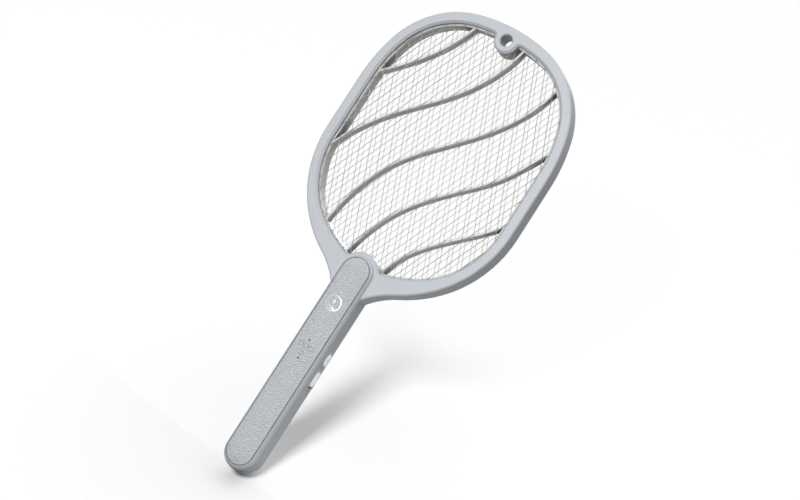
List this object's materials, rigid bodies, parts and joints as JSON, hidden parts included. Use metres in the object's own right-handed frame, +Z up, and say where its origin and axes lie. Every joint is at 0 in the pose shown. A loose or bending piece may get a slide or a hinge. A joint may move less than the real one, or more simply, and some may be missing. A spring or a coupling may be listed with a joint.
{
  "type": "electric fly swatter",
  "caption": "Rechargeable racket-shaped fly swatter: charged wire nets in a rounded head, straight handle with a side push button and slide switch, and a hanging hole.",
  "frame": {"origin": "outside of the handle's butt end, in the middle of its width and of the shell depth, at the mouth of the charging port", "axes": "+X to the right seen from the front (the side with the controls), +Y towards the back of the racket, +Z up along the handle to the top of the head"},
  "size_m": [0.23, 0.0341, 0.5105],
  "materials": {
    "shell_grey": "fine satin moulded",
    "rib_grey": "satin moulded",
    "panel_grain": "pebbled synthetic leather grain",
    "emblem_silver": "glossy pale inlay",
    "net_steel": "bright drawn",
    "button_white": "smooth semi-gloss",
    "lens_red": "clear red",
    "led_package": "moulded",
    "black_plastic": "satin",
    "board_green": "solder-masked laminate",
    "chip_black": "moulded epoxy",
    "ferrite": "sintered",
    "coil_tape": "polyester tape",
    "capacitor_film": "dipped lacquer",
    "diode_black": "moulded epoxy",
    "resistor_tan": "lacquered",
    "cell_sleeve": "shrink sleeve",
    "nickel": "bright",
    "foam": "open-cell foam",
    "wire_red": "extruded insulation",
    "wire_white": "extruded insulation",
    "wire_black": "extruded insulation",
    "spring_steel": "rolled strip",
    "screw_steel": "zinc plated"
  },
  "bodies": {
    "racket": {"front_shell": "shell_grey", "rear_shell": "shell_grey", "handle_panel": "panel_grain", "emblem": "emblem_silver", "power_led_lens": "lens_red", "charge_led_lens": "lens_red", "front_net": "net_steel", "hv_net": "net_steel", "rear_net": "net_steel", "front_rib_frame": "rib_grey", "rear_rib_frame": "rib_grey", "tact_switch": "black_plastic", "slide_switch": "nickel", "main_pcb": "board_green", "status_leds": "led_package", "controller_chips": "chip_black", "transformer_core": "ferrite", "transformer_coil": "coil_tape", "hv_capacitor": "capacitor_film", "rectifier_diodes": "diode_black", "bleed_resistor": "resistor_tan", "battery_cell": "cell_sleeve", "battery_tabs": "nickel", "battery_pad": "foam", "battery_leads": "wire_red", "charge_leads": "wire_white", "charge_board": "board_green", "usb_port_shell": "nickel", "usb_port_tongue": "black_plastic", "hv_contact": "spring_steel", "ground_contacts": "spring_steel", "hv_lead": "wire_red", "ground_leads": "wire_black", "shell_screws": "screw_steel"},
    "zap_button": {"zap_button": "button_white", "tact_plunger": "black_plastic"},
    "power_slider": {"power_slider": "button_white", "slider_dust_shield": "black_plastic", "slide_switch_lever": "black_plastic"}
  },
  "joints": [
    {"name": "zap_button_press", "type": "slide", "parent": "racket", "child": "zap_button", "axis": [-1, 0, 0], "range_m": [0, 0.001], "stiffness_N_per_m": 300, "springref_m": -0.001},
    {"name": "power_slide", "type": "slide", "parent": "racket", "child": "power_slider", "axis": [0, 0, -1], "range_m": [0, 0.004]}
  ]
}
